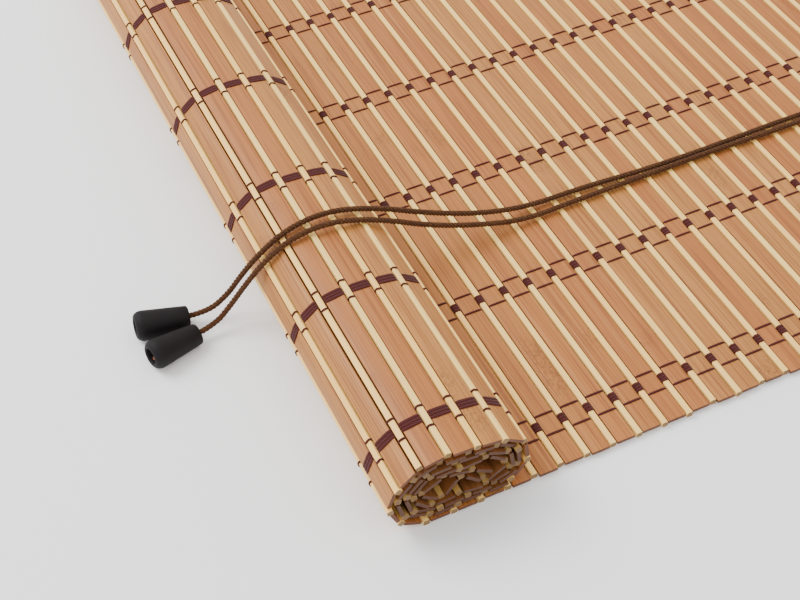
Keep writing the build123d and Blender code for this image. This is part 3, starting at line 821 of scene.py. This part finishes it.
# %% Frayed ends
FRAY_WIDTH = 1.5 * MM
FRAYS = ((-1.5, -1.6, 19.6), (0.1, -2.4, 20.8), (1.6, -1.5, 18.4))  # sideways, down, reach, in mm
fray_outline = oval("fray_outline", FRAY_WIDTH, FRAY_WIDTH)
for letter, route in cord_routes.items():
    end, before = Vector(route[-1]) * MM, Vector(route[-2]) * MM
    along = (end - before).normalized()
    side = along.cross(Vector((0.0, 0.0, 1.0))).normalized()
    upward = side.cross(along)
    frays = []
    for spread, drop, reach in FRAYS:
        bends = ((4.4, 0.2, 0.2), (9.0, 0.7, 0.6), (14.0, 1.1, 0.9), (reach, 1.0, 1.0))
        frays.append([
            end + (along * t + side * spread * a + upward * drop * b) * MM for t, a, b in bends
        ])
    mesh = swept(f"cord_fray_{letter}", frays, fray_outline, 4)
    mesh.shade_smooth()
    mesh.materials.clear()
    mesh.materials.append(knot_finish)
    fray = bpy.data.objects.new(f"cord_fray_{letter}", mesh)
    bpy.context.scene.collection.objects.link(fray)
    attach(fray, BLIND)
bpy.data.objects.remove(fray_outline)

# %% [markdown]
# ## Knots and fittings
# The CAD shapes of these are right, so they only get their finish. The rail is stained wood, the
# screws and hangers are zinc plated, and the lock is a dark moulding with turned brass rollers.

# %% Other finishes
def dress(node_name, finish):
    """Gives a CAD node one finish."""
    mesh = nodes[node_name].data
    mesh.materials.clear()
    mesh.materials.append(finish)


rail_finish, tree, shader = finish_material("rail_wood", 0.45, 0.4)
masks, _, end_cut = fibre_masks(tree)
colour = mixed(tree, masks["Band"], (0.26, 0.088, 0.022, 1.0), (0.38, 0.145, 0.038, 1.0))
dark_streak = ranged(tree, masks["Fine"], 0.50, 0.75, 0.0, 0.5)
colour = mixed(tree, dark_streak, colour, (0.13, 0.038, 0.009, 1.0))
colour = mixed(tree, maths(tree, "MULTIPLY", end_cut, 0.6), colour, (0.07, 0.021, 0.006, 1.0))
tree.links.new(colour, shader.inputs["Base Color"])
tree.links.new(bumped(tree, masks["Fine"], 0.00008, 0.6), shader.inputs["Normal"])


def metal_finish(name, colour, worn, roughness):
    """Brushed metal, whose roughness varies a little round its value."""
    material, tree, shader = finish_material(name, roughness)
    shader.inputs["Metallic"].default_value = 1.0
    where = tree.nodes.new("ShaderNodeTexCoord").outputs["Object"]
    brushed = noise(tree, stretched(tree, where, (3000.0, 300.0, 3000.0)), 1.0, 3.0, 0.6)
    tree.links.new(mixed(tree, brushed, colour, worn), shader.inputs["Base Color"])
    uneven = ranged(tree, brushed, 0.2, 0.8, roughness - 0.08, roughness + 0.1)
    tree.links.new(uneven, shader.inputs["Roughness"])
    tree.links.new(bumped(tree, brushed, 0.00003, 0.5), shader.inputs["Normal"])
    return material


steel_finish = metal_finish("steel", (0.60, 0.61, 0.62, 1.0), (0.45, 0.46, 0.47, 1.0), 0.36)
brass_finish = metal_finish("roller_brass", (0.80, 0.60, 0.28, 1.0), (0.62, 0.43, 0.18, 1.0), 0.32)
lock_finish, tree, shader = finish_material("lock_plastic", 0.5, 0.4)
where = tree.nodes.new("ShaderNodeTexCoord").outputs["Object"]
grain = noise(tree, where, 1500.0, 2.0, 0.6)
colour = mixed(tree, grain, (0.024, 0.008, 0.004, 1.0), (0.045, 0.017, 0.008, 1.0))
tree.links.new(colour, shader.inputs["Base Color"])
tree.links.new(bumped(tree, grain, 0.00006, 0.4), shader.inputs["Normal"])

dressing = {
    "header_rail": rail_finish,
    "lock_body": lock_finish,
    "guide_roller": brass_finish,
    "pinch_roller": brass_finish,
    "cord_knot_a": knot_finish,
    "cord_knot_b": knot_finish,
}
steel_nodes = (
    "mat_screws", "hanger_bracket_right", "hanger_bracket_left", "bracket_screws", "lock_screws",
    "guide_axle", "pinch_pin",
)
dressing.update({name: steel_finish for name in steel_nodes})
for node_name, finish in dressing.items():
    dress(node_name, finish)
